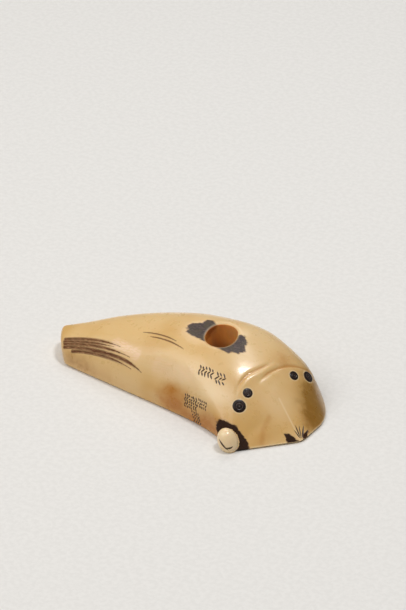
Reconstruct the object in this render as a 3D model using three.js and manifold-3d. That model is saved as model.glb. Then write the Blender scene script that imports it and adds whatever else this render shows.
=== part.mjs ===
// A netsuke, the toggle that held a pouch on its cord: one piece of ivory carved as a sleek animal
// lying flat, its head turned to its right, a forepaw beside the cheek and the hind end cut off
// square. Four discs of dark horn are let in as eyes, and a hole for the cord goes right through.
//
// Millimetres, +Z up, lying on its flat underside. The carving is laid out from the tip of the nose,
// with the body along -X, and is moved at the end so that the origin is under its middle.

import * as THREE from "three";
import { mergeVertices } from "three/addons/utils/BufferGeometryUtils.js";
import Module from "manifold-3d";

// Sections along the body: where it is, the edge on the near side, the edge on the far side, and the
// height of the back.
const SECTIONS = [
  { x: -66, near: 3.6, far: 10.4, top: 4.8 },
  { x: -60, near: 2.25, far: 13.2, top: 6.6 },
  { x: -50, near: 0.45, far: 18.0, top: 10.0 },
  { x: -40, near: -1.3, far: 21.2, top: 12.65 },
  { x: -31, near: -2.9, far: 22.7, top: 14.4 },
  { x: -24, near: -4.4, far: 22.9, top: 15.1 },
  { x: -18, near: -6.5, far: 22.6, top: 15.4 },
  { x: -12, near: -9.8, far: 21.4, top: 14.9 },
  { x: -6, near: -12.9, far: 18.9, top: 13.8 },
  { x: 0, near: -15.0, far: 13.2, top: 11.5 },
  { x: 4, near: -16.6, far: 6.0, top: 10.2 },
];
const FLANK_POWER = 2.5; // how square the sides of a section are
const HEAD_POWER_LOSS = 0.45; // the head's sides are rounder than the body's
const HEAD_START = -18;
const HEAD_FULL = -8;
const BACK_POWER = 2.1;
const BACK_LEAN = 0.13; // the back's crest leans to the far side
const SECTION_SHARPNESS = 2.3;

// The head's own directions: forward along the muzzle, and out to its right.
const HEAD_TURN = THREE.MathUtils.degToRad(-29);
const FACE_SLOPE = THREE.MathUtils.degToRad(42); // of each half of the face, from the floor
const FACE_SPREAD = THREE.MathUtils.degToRad(21); // each half faces this far off the muzzle
const NOSE_ALLOWANCE = 0.6; // the planes start this far ahead, so that rounding leaves the nose at 0
const RIDGE_ROUNDING = { atNose: 0.5, perHeight: 0.45 };
const BROW_ROUNDING = { atNose: 0.8, perHeight: 0.4 };
// Low down, the far cheek runs into the face in a wide curve: how wide, where it starts and is full
// out to the left, and the heights between which it fades.
const CHEEK_ROUNDING = { amount: 3.4, start: 1, full: 8, low: 2, high: 8 };

const TAIL_CUT = { x: -60.3, y: 2.6, facing: 203, undercut: 15, rounding: 1.4 };
const WAIST_HOLLOW = { x: -33.5, height: 6.5, depth: 0.7, length: 6.0, width: 3.5 };
const BASE_INSET = 0.4; // the small bevel round the underside
const BASE_HEIGHT = 0.5;

const CORD_HOLE = { x: -24.6, y: 10.0, radius: 3.6 };
// The cord wore the back down on the tail side of the hole, and left it proud on the head side.
const HOLE_WEAR = { x: 4.2, y: 1.6, depth: 0.5, rise: 0.4, reach: 3.6, low: 6, high: 9 };

// The paw is an egg that leans forward and down to the floor.
const PAW = { x: -13.5, y: -9.0, z: 1.85, length: 5.9, width: 4.4, lean: [0.45, -0.1, -0.88] };

// Creases of skin behind the head. Each is an arc across the head: its front-to-back place at the
// arc's middle, that middle's place to the right, the arc's radius, and where it starts and ends.
const CREASES = [
  { forward: -15.6, right: 1.0, radius: 24, from: -3.0, to: 7.4 },
  { forward: -14.1, right: -3.6, radius: 16, from: -12.0, to: 2.6 },
];
const CREASE_CUT = { radius: 0.6, depth: 0.38 };

// Eyes: place along the head (behind the nose is negative), place to its right, and disc radius.
const EYES = [
  { name: "eye_right_outer", forward: -10.95, right: 9.05, radius: 1.45 },
  { name: "eye_right_inner", forward: -12.0, right: 6.1, radius: 1.08 },
  { name: "eye_left_inner", forward: -11.85, right: -6.05, radius: 1.05 },
  { name: "eye_left_outer", forward: -11.6, right: -9.75, radius: 1.3 },
];
const EYE_THICKNESS = 0.9;
const EYE_DOME = 0.15;
const SOCKET_GAP = 0.25;

// The skin's mesh: rings from tail to nose, and columns over the back from edge to edge.
const RINGS = 76;
const COLUMNS = 34;

const UP = new THREE.Vector3(0, 0, 1);

const IVORY = { color: 0xdcb873, roughness: 0.32, metalness: 0 };
const HORN = { color: 0x2a211d, roughness: 0.25, metalness: 0 };

// ---- The form, as a depth below the surface: under 0 inside, over 0 outside ----

// A smooth curve through the sections that never overshoots them.
function sectionCurve(key) {
  const xs = SECTIONS.map((s) => s.x);
  const ys = SECTIONS.map((s) => s[key]);
  const slopes = xs.slice(1).map((x, i) => (ys[i + 1] - ys[i]) / (x - xs[i]));
  const tangents = xs.map((x, i) => {
    if (i === 0 || i === xs.length - 1) return slopes[Math.min(i, slopes.length - 1)];
    const before = slopes[i - 1];
    const after = slopes[i];
    if (before * after <= 0) return 0;
    const wideAfter = 2 * (xs[i + 1] - x) + (x - xs[i - 1]);
    const wideBefore = xs[i + 1] - x + 2 * (x - xs[i - 1]);
    return (wideAfter + wideBefore) / (wideAfter / before + wideBefore / after);
  });
  return (at) => {
    const x = THREE.MathUtils.clamp(at, xs[0], xs[xs.length - 1]);
    const i = Math.max(0, xs.findIndex((end, k) => k > 0 && x <= end) - 1);
    const span = xs[i + 1] - xs[i];
    const t = (x - xs[i]) / span;
    return (
      (2 * t ** 3 - 3 * t ** 2 + 1) * ys[i] +
      (t ** 3 - 2 * t ** 2 + t) * span * tangents[i] +
      (3 * t ** 2 - 2 * t ** 3) * ys[i + 1] +
      (t ** 3 - t ** 2) * span * tangents[i + 1]
    );
  };
}
const nearEdge = sectionCurve("near");
const farEdge = sectionCurve("far");
const backHeight = sectionCurve("top");

function smoothMax(a, b, rounding) {
  const h = THREE.MathUtils.clamp(0.5 + (0.5 * (a - b)) / rounding, 0, 1);
  return b * (1 - h) + a * h + rounding * h * (1 - h);
}

const bell = (distance, width) => Math.exp(-((distance / width) ** 2));

function bodySection(x, y, z) {
  const near = nearEdge(x);
  const far = farEdge(x);
  const halfWidth = (far - near) / 2;
  const across = (y - (near + far) / 2) / halfWidth;
  const height = backHeight(x) * (1 + BACK_LEAN * THREE.MathUtils.clamp(across, -1, 1));
  const headness = THREE.MathUtils.smoothstep(x, HEAD_START, HEAD_FULL);
  const flank = Math.abs(across) ** (FLANK_POWER - HEAD_POWER_LOSS * headness);
  const back = (Math.max(z, 0) / height) ** BACK_POWER;
  const depth = ((flank + back) ** (1 / SECTION_SHARPNESS) - 1) * Math.min(halfWidth, height);
  const hollow =
    WAIST_HOLLOW.depth *
    bell(x - WAIST_HOLLOW.x, WAIST_HOLLOW.length) *
    bell(z - WAIST_HOLLOW.height, WAIST_HOLLOW.width);
  return across < 0 ? depth + hollow : depth;
}

function tailPlane(x, y, z) {
  const facing = THREE.MathUtils.degToRad(TAIL_CUT.facing);
  const undercut = THREE.MathUtils.degToRad(TAIL_CUT.undercut);
  const outward = (x - TAIL_CUT.x) * Math.cos(facing) + (y - TAIL_CUT.y) * Math.sin(facing);
  return outward * Math.cos(undercut) - z * Math.sin(undercut);
}

function facePlane(x, y, z, facing) {
  const ahead = x * Math.cos(facing) + y * Math.sin(facing) - NOSE_ALLOWANCE;
  return ahead * Math.sin(FACE_SLOPE) + z * Math.cos(FACE_SLOPE);
}

function holeWear(x, y, z) {
  const { x: alongBack, y: across, depth, rise, reach, low, high } = HOLE_WEAR;
  const worn = Math.hypot(x - CORD_HOLE.x + alongBack, y - CORD_HOLE.y + across);
  const proud = Math.hypot(x - CORD_HOLE.x - alongBack, y - CORD_HOLE.y - across);
  const onBack = THREE.MathUtils.smoothstep(z, low, high);
  return onBack * (depth * bell(worn, reach) - rise * bell(proud, reach));
}

function browRounding(x, y, z) {
  const { smoothstep } = THREE.MathUtils;
  const left = y * Math.cos(HEAD_TURN) - x * Math.sin(HEAD_TURN);
  const { amount, start, full, low, high } = CHEEK_ROUNDING;
  const cheek = amount * smoothstep(left, start, full) * (1 - smoothstep(z, low, high));
  return BROW_ROUNDING.atNose + BROW_ROUNDING.perHeight * Math.max(z, 0) + cheek;
}

function form(x, y, z) {
  const face = smoothMax(
    facePlane(x, y, z, HEAD_TURN - FACE_SPREAD),
    facePlane(x, y, z, HEAD_TURN + FACE_SPREAD),
    RIDGE_ROUNDING.atNose + RIDGE_ROUNDING.perHeight * Math.max(z, 0),
  );
  const body = smoothMax(bodySection(x, y, z), tailPlane(x, y, z), TAIL_CUT.rounding);
  return smoothMax(body, face, browRounding(x, y, z)) + holeWear(x, y, z);
}

// The last point inside the form, going from a point inside it.
function surfaceAlong(origin, direction) {
  const REACH = 40;
  const STEP = 0.4;
  const at = (distance) => origin.clone().addScaledVector(direction, distance);
  const inside = (distance) => {
    const p = at(distance);
    return form(p.x, p.y, p.z) < 0;
  };
  let low = 0;
  for (let distance = 0; distance < REACH; distance += STEP) if (inside(distance)) low = distance;
  let high = low + STEP;
  for (let i = 0; i < 16; i++) {
    const middle = (low + high) / 2;
    if (inside(middle)) low = middle;
    else high = middle;
  }
  return at(low);
}

function surfaceNormal(p) {
  const e = 0.02;
  return new THREE.Vector3(
    form(p.x + e, p.y, p.z) - form(p.x - e, p.y, p.z),
    form(p.x, p.y + e, p.z) - form(p.x, p.y - e, p.z),
    form(p.x, p.y, p.z + e) - form(p.x, p.y, p.z - e),
  ).normalize();
}

// The point of the back or face over a place on the head.
function onHead(forward, right) {
  const x = forward * Math.cos(HEAD_TURN) + right * Math.sin(HEAD_TURN);
  const y = forward * Math.sin(HEAD_TURN) - right * Math.cos(HEAD_TURN);
  return surfaceAlong(new THREE.Vector3(x, y, BASE_HEIGHT), UP);
}

// ---- Solids ----

const wasm = await Module();
wasm.setup();

function solid(geometry) {
  const bare = geometry.clone();
  bare.deleteAttribute("normal");
  bare.deleteAttribute("uv");
  const merged = mergeVertices(bare, 1e-4);
  return new wasm.Manifold(
    new wasm.Mesh({
      numProp: 3,
      vertProperties: merged.attributes.position.array,
      triVerts: new Uint32Array(merged.index.array),
    }),
  );
}

function geometryOf(shape) {
  const mesh = shape.getMesh();
  const geometry = new THREE.BufferGeometry();
  geometry.setAttribute("position", new THREE.BufferAttribute(mesh.vertProperties, 3));
  geometry.setIndex(new THREE.BufferAttribute(mesh.triVerts, 1));
  geometry.computeVertexNormals();
  return geometry;
}

// A geometry made along +Z, set at a point and turned to a direction.
function aimed(geometry, point, direction) {
  const turn = new THREE.Quaternion().setFromUnitVectors(UP, direction);
  return geometry.applyQuaternion(turn).translate(point.x, point.y, point.z);
}

// The body is skinned by rays that fan out of a spine just above the floor: half circles along the
// spine, and a fan of them round each end.
const SPINE = new THREE.QuadraticBezierCurve3(
  new THREE.Vector3(-56, 7, BASE_HEIGHT),
  new THREE.Vector3(-27, 14, BASE_HEIGHT),
  new THREE.Vector3(-9, 5, BASE_HEIGHT),
);
const TAIL_SHARE = 0.2;
const HEAD_SHARE = 0.3;

function ring(share) {
  let along = (share - TAIL_SHARE) / (1 - TAIL_SHARE - HEAD_SHARE);
  let swing = 0;
  if (along < 0) swing = -(1 - share / TAIL_SHARE) * (Math.PI / 2);
  if (along > 1) swing = (1 - (1 - share) / HEAD_SHARE) * (Math.PI / 2);
  along = THREE.MathUtils.clamp(along, 0, 1);
  const origin = SPINE.getPoint(along);
  const ahead = SPINE.getTangent(along);
  const side = new THREE.Vector3(ahead.y, -ahead.x, 0);
  const skin = Array.from({ length: COLUMNS + 1 }, (_, column) => {
    const roll = (column / COLUMNS) * Math.PI;
    const direction = side.clone().multiplyScalar(Math.cos(roll) * Math.cos(swing));
    direction.addScaledVector(UP, Math.sin(roll) * Math.cos(swing));
    direction.addScaledVector(ahead, Math.sin(swing));
    return surfaceAlong(origin, direction.normalize());
  });
  const foot = (p) => {
    const inward = origin.clone().sub(p).setZ(0);
    inward.setLength(Math.min(BASE_INSET, inward.length()));
    return p.clone().add(inward).setZ(0);
  };
  return [foot(skin[0]), ...skin, foot(skin[COLUMNS])];
}

function bodySkin() {
  const rings = Array.from({ length: RINGS + 1 }, (_, i) => ring(i / RINGS));
  const around = rings[0].length;
  const positions = rings.flat().flatMap((p) => [p.x, p.y, p.z]);
  const faces = [];
  for (let i = 0; i < RINGS; i++) {
    for (let k = 0; k < around; k++) {
      const here = i * around + k;
      const next = i * around + ((k + 1) % around);
      faces.push(here, here + around, next + around);
      faces.push(here, next + around, next);
    }
  }
  const geometry = new THREE.BufferGeometry();
  geometry.setAttribute("position", new THREE.Float32BufferAttribute(positions, 3));
  geometry.setIndex(faces);
  return geometry;
}

function pawEgg() {
  const lean = new THREE.Vector3(...PAW.lean).normalize();
  const egg = new THREE.SphereGeometry(0.5, 24, 16);
  egg.rotateX(Math.PI / 2);
  egg.scale(PAW.width, PAW.width, PAW.length);
  return aimed(egg, new THREE.Vector3(PAW.x, PAW.y, PAW.z), lean);
}

// A round cut along an arc of the head, deepest in its middle and running out at its ends.
function creaseCut({ forward, right, radius, from, to }) {
  const STEPS = 12;
  const points = Array.from({ length: STEPS + 1 }, (_, i) => {
    const place = THREE.MathUtils.lerp(from, to, i / STEPS);
    const point = onHead(forward + (place - right) ** 2 / (2 * radius), place);
    const fade = Math.abs((2 * i) / STEPS - 1) ** 4;
    const lift = CREASE_CUT.radius - CREASE_CUT.depth * (1 - fade);
    return point.addScaledVector(surfaceNormal(point), lift);
  });
  const section = new THREE.Shape().absarc(0, 0, CREASE_CUT.radius, 0, 2 * Math.PI);
  const path = new THREE.CatmullRomCurve3(points);
  return new THREE.ExtrudeGeometry(section, { steps: 24, curveSegments: 6, extrudePath: path });
}

function cordHole() {
  const LENGTH = 60;
  const hole = new THREE.CylinderGeometry(CORD_HOLE.radius, CORD_HOLE.radius, LENGTH, 32);
  return hole.rotateX(Math.PI / 2).translate(CORD_HOLE.x, CORD_HOLE.y, 0);
}

function eyeSocket(point, normal, radius) {
  const LENGTH = 6;
  const floor = -EYE_THICKNESS - SOCKET_GAP;
  const bore = new THREE.CylinderGeometry(radius + SOCKET_GAP, radius + SOCKET_GAP, LENGTH, 20);
  return aimed(bore.rotateX(Math.PI / 2).translate(0, 0, floor + LENGTH / 2), point, normal);
}

function eyeDisc(point, normal, radius) {
  const DOME_STEPS = 3;
  const profile = [new THREE.Vector2(0, -EYE_THICKNESS), new THREE.Vector2(radius, -EYE_THICKNESS)];
  for (let i = 0; i < DOME_STEPS; i++) {
    const angle = (i / DOME_STEPS) * (Math.PI / 2);
    profile.push(new THREE.Vector2(radius * Math.cos(angle), EYE_DOME * Math.sin(angle)));
  }
  profile.push(new THREE.Vector2(0, EYE_DOME));
  return aimed(new THREE.LatheGeometry(profile, 20).rotateX(Math.PI / 2), point, normal);
}

// A block that holds all there is above the floor.
function aboveFloor() {
  const SIZE = 200;
  return new THREE.BoxGeometry(SIZE, SIZE, SIZE).translate(0, 0, SIZE / 2);
}

// ---- The netsuke ----

const figure = new THREE.Group();

function addMesh(name, geometry, finish) {
  const mesh = new THREE.Mesh(geometry, new THREE.MeshStandardMaterial(finish));
  mesh.name = name;
  figure.add(mesh);
}

const paw = solid(pawEgg()).intersect(solid(aboveFloor()));
let body = solid(bodySkin()).add(paw).subtract(solid(cordHole()));
for (const crease of CREASES) body = body.subtract(solid(creaseCut(crease)));

for (const { name, forward, right, radius } of EYES) {
  const point = onHead(forward, right);
  const normal = surfaceNormal(point);
  body = body.subtract(solid(eyeSocket(point, normal, radius)));
  addMesh(name, eyeDisc(point, normal, radius), HORN);
}
addMesh("body", geometryOf(body), IVORY);

const middle = new THREE.Box3().setFromObject(figure).getCenter(new THREE.Vector3());
figure.position.set(-middle.x, -middle.y, 0);

const netsuke = new THREE.Group();
netsuke.add(figure);

export default netsuke;
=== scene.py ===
"""The netsuke's looks: polished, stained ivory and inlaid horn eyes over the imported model."""

import contextlib
import math
from types import SimpleNamespace as Values

import bmesh
import bpy
import numpy as np
from mathutils import Matrix, Vector


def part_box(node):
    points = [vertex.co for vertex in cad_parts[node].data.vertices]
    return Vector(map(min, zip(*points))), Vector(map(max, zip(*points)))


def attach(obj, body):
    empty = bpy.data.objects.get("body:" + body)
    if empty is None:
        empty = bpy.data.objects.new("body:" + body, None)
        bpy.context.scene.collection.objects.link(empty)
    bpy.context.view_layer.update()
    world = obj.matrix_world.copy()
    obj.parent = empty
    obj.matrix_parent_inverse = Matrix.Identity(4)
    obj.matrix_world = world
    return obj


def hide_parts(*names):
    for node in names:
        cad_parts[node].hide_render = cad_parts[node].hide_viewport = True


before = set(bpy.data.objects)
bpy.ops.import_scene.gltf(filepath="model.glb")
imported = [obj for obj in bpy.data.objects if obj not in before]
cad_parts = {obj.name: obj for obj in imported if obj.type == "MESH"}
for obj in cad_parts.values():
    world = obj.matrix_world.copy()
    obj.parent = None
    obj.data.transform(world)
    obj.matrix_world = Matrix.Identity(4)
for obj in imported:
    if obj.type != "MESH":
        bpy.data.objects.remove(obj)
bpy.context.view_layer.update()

MM = 0.001

# ---------- the carving's form, in millimetres
# It is laid out as the solid is: from the tip of the nose, with the body along -X and +Z up.

# Sections along the body: place, near edge, far edge and height of the back.
SECTIONS = np.array([
    (-66, 3.6, 10.4, 4.8),
    (-60, 2.25, 13.2, 6.6),
    (-50, 0.45, 18.0, 10.0),
    (-40, -1.3, 21.2, 12.65),
    (-31, -2.9, 22.7, 14.4),
    (-24, -4.4, 22.9, 15.1),
    (-18, -6.5, 22.6, 15.4),
    (-12, -9.8, 21.4, 14.9),
    (-6, -12.9, 18.9, 13.8),
    (0, -15.0, 13.2, 11.5),
    (4, -16.6, 6.0, 10.2),
])
FLANK_POWER = 2.5
HEAD_POWER_LOSS = 0.45
HEAD_STRETCH = (-18.0, -8.0)
BACK_POWER = 2.1
BACK_LEAN = 0.13
SECTION_SHARPNESS = 2.3

HEAD_TURN = math.radians(-29)
FACE_SLOPE = math.radians(42)
FACE_SPREAD = math.radians(21)
NOSE_ALLOWANCE = 0.6
RIDGE_ROUNDING = Values(least=0.5, per_height=0.45)
BROW_ROUNDING = Values(least=0.8, per_height=0.4)
TAIL_CUT = Values(
    x=-60.3, y=2.6, facing=math.radians(203), undercut=math.radians(15), rounding=1.4,
)
CHEEK = Values(amount=3.4, across=(1.0, 8.0), heights=(2.0, 8.0))
WAIST_HOLLOW = Values(x=-33.5, height=6.5, depth=0.7, length=6.0, width=3.5)
BASE_INSET = 0.4
BASE_HEIGHT = 0.5

HOLE = Values(x=-24.6, y=10.0, radius=3.6, bottom=-5, top=30, sides=96)
HOLE_RIM = Values(width=0.8, depth=0.28, heights=(5.0, 8.0))
HOLE_WEAR = Values(x=4.2, y=1.6, depth=0.5, rise=0.4, reach=3.6, heights=(6.0, 9.0))
PAW = Values(centre=(-13.5, -9.0, 1.85), length=5.9, width=4.4, lean=(0.45, -0.1, -0.88))

# The creases behind the head. Each is two arcs that meet at a place forward along the head and out to
# its right, and runs from start to end across the head, with a roll of skin in front.
CREASES = [
    Values(forward=-15.05, right=3.0, near_radius=8.0, far_radius=-60.0, start=-1.8, end=7.2, roll=0.13),
    Values(forward=-13.97, right=-4.5, near_radius=24.0, far_radius=24.0, start=-13.0, end=1.6, roll=0.05),
]
CREASE = Values(depth=0.20, width=0.36, fade=2.0, heights=(2.0, 4.0))
SKIN_ROLL = Values(ahead=0.95, width=0.75)
# The shallow groove down the face beside the near cheek, which bends by its curve.
CHEEK_GROOVE = Values(
    forward=-6.4, right=8.0, width=1.1, reach=3.4, depth=0.14, heights=(0.3, 1.5),
    bend_from=7, curve=0.024,
)

# Eyes: the CAD node, place along the head, place to its right, radius.
EYES = [
    ("eye_right_outer", -10.95, 9.05, 1.45),
    ("eye_right_inner", -12.0, 6.1, 1.08),
    ("eye_left_inner", -11.85, -6.05, 1.05),
    ("eye_left_outer", -11.6, -9.75, 1.3),
]
EYE_THICKNESS = 0.9
EYE_SIDES = 64
SOCKET_CLEARANCE = 0.02
SOCKET_TOP = 3

FAR = 9.0  # a distance in millimetres that is past every stain's edge
NORMAL_STEP = 0.02
# How far and how finely a ray is searched for the form's edge, and how the edge is then closed in on.
RAY = Values(reach=40.0, step=0.5, back=1.0, ahead=0.6, halvings=13)


def section_curve(column):
    """A smooth curve through one column of the sections that never overshoots it."""
    xs, ys = SECTIONS[:, 0], SECTIONS[:, column]
    step = np.diff(xs)
    slope = np.diff(ys) / step
    tangent = np.zeros_like(ys)
    tangent[0], tangent[-1] = slope[0], slope[-1]
    for i in range(1, len(xs) - 1):
        if slope[i - 1] * slope[i] > 0:
            before, after = 2 * step[i] + step[i - 1], step[i] + 2 * step[i - 1]
            tangent[i] = (before + after) / (before / slope[i - 1] + after / slope[i])

    def curve(x):
        x = np.clip(x, xs[0], xs[-1])
        i = np.clip(np.searchsorted(xs, x) - 1, 0, len(xs) - 2)
        t = (x - xs[i]) / step[i]
        start = (2 * t**3 - 3 * t**2 + 1) * ys[i] + (t**3 - 2 * t**2 + t) * step[i] * tangent[i]
        end = (3 * t**2 - 2 * t**3) * ys[i + 1] + (t**3 - t**2) * step[i] * tangent[i + 1]
        return start + end

    return curve


near_edge, far_edge, back_height = (section_curve(column) for column in (1, 2, 3))


def smooth_max(a, b, rounding):
    """The larger of two values, with their meeting rounded."""
    h = np.clip(0.5 + 0.5 * (a - b) / rounding, 0, 1)
    return b * (1 - h) + a * h + rounding * h * (1 - h)


def bell(distance, width):
    return np.exp(-((distance / width) ** 2))


def smooth_step(low, high, value):
    """From 0 at low to 1 at high, whichever of them is the larger."""
    t = np.clip((value - low) / (high - low), 0, 1)
    return t * t * (3 - 2 * t)


def unit(v):
    return v / np.linalg.norm(v, axis=-1, keepdims=True)


def to_head(x, y):
    """Places forward along the head and out to its right."""
    forward = x * math.cos(HEAD_TURN) + y * math.sin(HEAD_TURN)
    right = x * math.sin(HEAD_TURN) - y * math.cos(HEAD_TURN)
    return forward, right


def from_head(forward, right):
    x = forward * math.cos(HEAD_TURN) + right * math.sin(HEAD_TURN)
    y = forward * math.sin(HEAD_TURN) - right * math.cos(HEAD_TURN)
    return x, y


def from_hole(x, y):
    """How far a place in plan is outside the cord hole."""
    return np.hypot(x - HOLE.x, y - HOLE.y) - HOLE.radius


def body_section(x, y, z):
    """Under 0 inside the body's rounded cross-section, before the tail and face are cut."""
    near, far = near_edge(x), far_edge(x)
    half_width = (far - near) / 2
    across = (y - (near + far) / 2) / half_width
    height = back_height(x) * (1 + BACK_LEAN * np.clip(across, -1, 1))
    power = FLANK_POWER - HEAD_POWER_LOSS * smooth_step(*HEAD_STRETCH, x)
    bulk = np.abs(across) ** power + (np.maximum(z, 0) / height) ** BACK_POWER
    depth = (bulk ** (1 / SECTION_SHARPNESS) - 1) * np.minimum(half_width, height)
    hollow = WAIST_HOLLOW.depth * bell(x - WAIST_HOLLOW.x, WAIST_HOLLOW.length)
    hollow = hollow * bell(z - WAIST_HOLLOW.height, WAIST_HOLLOW.width)
    return depth + hollow * (across < 0)


def tail_plane(x, y, z):
    facing, undercut = TAIL_CUT.facing, TAIL_CUT.undercut
    outward = (x - TAIL_CUT.x) * math.cos(facing) + (y - TAIL_CUT.y) * math.sin(facing)
    return outward * math.cos(undercut) - z * math.sin(undercut)


def face_plane(x, y, z, facing):
    ahead = x * math.cos(facing) + y * math.sin(facing) - NOSE_ALLOWANCE
    return ahead * math.sin(FACE_SLOPE) + z * math.cos(FACE_SLOPE)


def hole_wear(x, y, z):
    """The back is worn down on the tail side of the cord hole, and proud on the head side."""
    worn = np.hypot(x - HOLE.x + HOLE_WEAR.x, y - HOLE.y + HOLE_WEAR.y)
    proud = np.hypot(x - HOLE.x - HOLE_WEAR.x, y - HOLE.y - HOLE_WEAR.y)
    lower = HOLE_WEAR.depth * bell(worn, HOLE_WEAR.reach)
    higher = HOLE_WEAR.rise * bell(proud, HOLE_WEAR.reach)
    return (lower - higher) * smooth_step(*HOLE_WEAR.heights, z)


def brow_rounding(x, y, z):
    """How widely the face is rounded into the body: more with height, and more on the far cheek."""
    left = y * math.cos(HEAD_TURN) - x * math.sin(HEAD_TURN)
    cheek = CHEEK.amount * smooth_step(*CHEEK.across, left)
    cheek = cheek * (1 - smooth_step(*CHEEK.heights, z))
    return BROW_ROUNDING.least + BROW_ROUNDING.per_height * np.maximum(z, 0) + cheek


def form(x, y, z):
    """Under 0 inside the carving, without its paw, and over 0 outside."""
    height = np.maximum(z, 0)
    left = face_plane(x, y, z, HEAD_TURN + FACE_SPREAD)
    right = face_plane(x, y, z, HEAD_TURN - FACE_SPREAD)
    face = smooth_max(right, left, RIDGE_ROUNDING.least + RIDGE_ROUNDING.per_height * height)
    body = smooth_max(body_section(x, y, z), tail_plane(x, y, z), TAIL_CUT.rounding)
    return smooth_max(body, face, brow_rounding(x, y, z)) + hole_wear(x, y, z)


def crease_profile(x, y, z):
    """The creases' share of their depth at each place, and the height of the rolls in front of them."""
    forward, right = to_head(x, y)
    cut, roll = np.zeros_like(x), np.zeros_like(x)
    for crease in CREASES:
        aside = right - crease.right
        radius = np.where(aside > 0, crease.near_radius, crease.far_radius)
        ahead = forward - crease.forward - aside**2 / (2 * radius)
        fade = CREASE.fade
        there = smooth_step(crease.start - fade, crease.start + fade, right)
        there = there * (1 - smooth_step(crease.end - fade, crease.end + fade, right))
        there = there * smooth_step(*CREASE.heights, z)
        cut = np.maximum(cut, there * bell(ahead, CREASE.width))
        swell = bell(ahead - SKIN_ROLL.ahead, SKIN_ROLL.width)
        roll = np.maximum(roll, crease.roll * there * swell)
    return cut, roll


def carved_form(x, y, z):
    """The form with its low relief: creases, the cord hole's worn rim and the groove by the cheek."""
    cut, roll = crease_profile(x, y, z)
    rim = np.clip(1 - from_hole(x, y) / HOLE_RIM.width, 0, 1) ** 2
    rim = HOLE_RIM.depth * (rim * smooth_step(*HOLE_RIM.heights, z))
    forward, right = to_head(x, y)
    bend = CHEEK_GROOVE.curve * (right - CHEEK_GROOVE.bend_from) ** 2
    groove = bell(forward - CHEEK_GROOVE.forward - bend, CHEEK_GROOVE.width)
    groove = groove * bell(right - CHEEK_GROOVE.right, CHEEK_GROOVE.reach)
    groove = CHEEK_GROOVE.depth * groove * smooth_step(*CHEEK_GROOVE.heights, z)
    return form(x, y, z) + CREASE.depth * cut - roll + rim + groove


def normal_at(point):
    """The form's outward direction at each point of an (n, 3) array."""
    steps = np.eye(3) * NORMAL_STEP
    slopes = [form(*(point + s).T) - form(*(point - s).T) for s in steps]
    return unit(np.stack(slopes, -1))


def along_rays(origins, directions, surface):
    """The farthest point inside the surface on each ray. The surface lies close to the form's."""
    distance = np.zeros(origins.shape[:-1])
    for far in np.arange(0, RAY.reach, RAY.step):
        points = origins + directions * far
        distance = np.where(form(*np.moveaxis(points, -1, 0)) < 0, far, distance)
    low, high = np.maximum(distance - RAY.back, 0), distance + RAY.step + RAY.ahead
    for _ in range(RAY.halvings):
        middle = (low + high) / 2
        points = origins + directions * middle[..., None]
        inside = surface(*np.moveaxis(points, -1, 0)) < 0
        low, high = np.where(inside, middle, low), np.where(inside, high, middle)
    return origins + directions * low[..., None]


def on_back(x, y):
    """The points of the back or face over places in plan."""
    start = np.stack([x, y, np.full_like(x, BASE_HEIGHT)], -1)
    return along_rays(start, np.broadcast_to((0.0, 0.0, 1.0), start.shape), form)


def on_flank(x, z):
    """The points of the near flank at places along the body and heights."""
    start = np.stack([x, (near_edge(x) + far_edge(x)) / 2, z], -1)
    return along_rays(start, np.broadcast_to((0.0, -1.0, 0.0), start.shape), form)


# ---------- meshes

def new_object(name, data):
    made = bpy.data.objects.new(name, data)
    bpy.context.scene.collection.objects.link(made)
    return made


def mesh_object(name, vertices, faces):
    mesh = bpy.data.meshes.new(name)
    mesh.from_pydata([tuple(v) for v in vertices], [], faces)
    mesh.validate()
    return new_object(name, mesh)


def tube_faces(rings, count):
    """The faces between closed rings of vertices, which follow each other in the list."""
    faces = []
    for first in range(0, (rings - 1) * count, count):
        for k in range(count):
            here, beside = first + k, first + (k + 1) % count
            faces.append((here, here + count, beside + count, beside))
    return faces


@contextlib.contextmanager
def mesh_editing(piece):
    """Opens a piece's mesh for bmesh's operations, and puts it back with its faces turned outwards."""
    made = bmesh.new()
    made.from_mesh(piece.data)
    yield made
    bmesh.ops.recalc_face_normals(made, faces=made.faces)
    made.to_mesh(piece.data)
    made.free()


def apply_modifiers(piece):
    evaluated = piece.evaluated_get(bpy.context.evaluated_depsgraph_get())
    mesh = bpy.data.meshes.new_from_object(evaluated)
    piece.modifiers.clear()
    old, piece.data = piece.data, mesh
    bpy.data.meshes.remove(old)


def combine(piece, tool, operation):
    """Joins a tool to the piece, or cuts it out, and removes it."""
    modifier = piece.modifiers.new("combine", "BOOLEAN")
    modifier.operation = operation
    modifier.solver = "MANIFOLD"
    modifier.object = tool
    apply_modifiers(piece)
    bpy.data.objects.remove(tool)


# The curve that the skin's rays start from, and the share of the rings that fan round each end of it.
SPINE = np.array([(-56, 7, BASE_HEIGHT), (-27, 14, BASE_HEIGHT), (-9, 5, BASE_HEIGHT)], float)
TAIL_SHARE, HEAD_SHARE = 0.14, 0.26
RINGS, COLUMNS = 400, 200
SAME_PLACE = 1e-5


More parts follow.
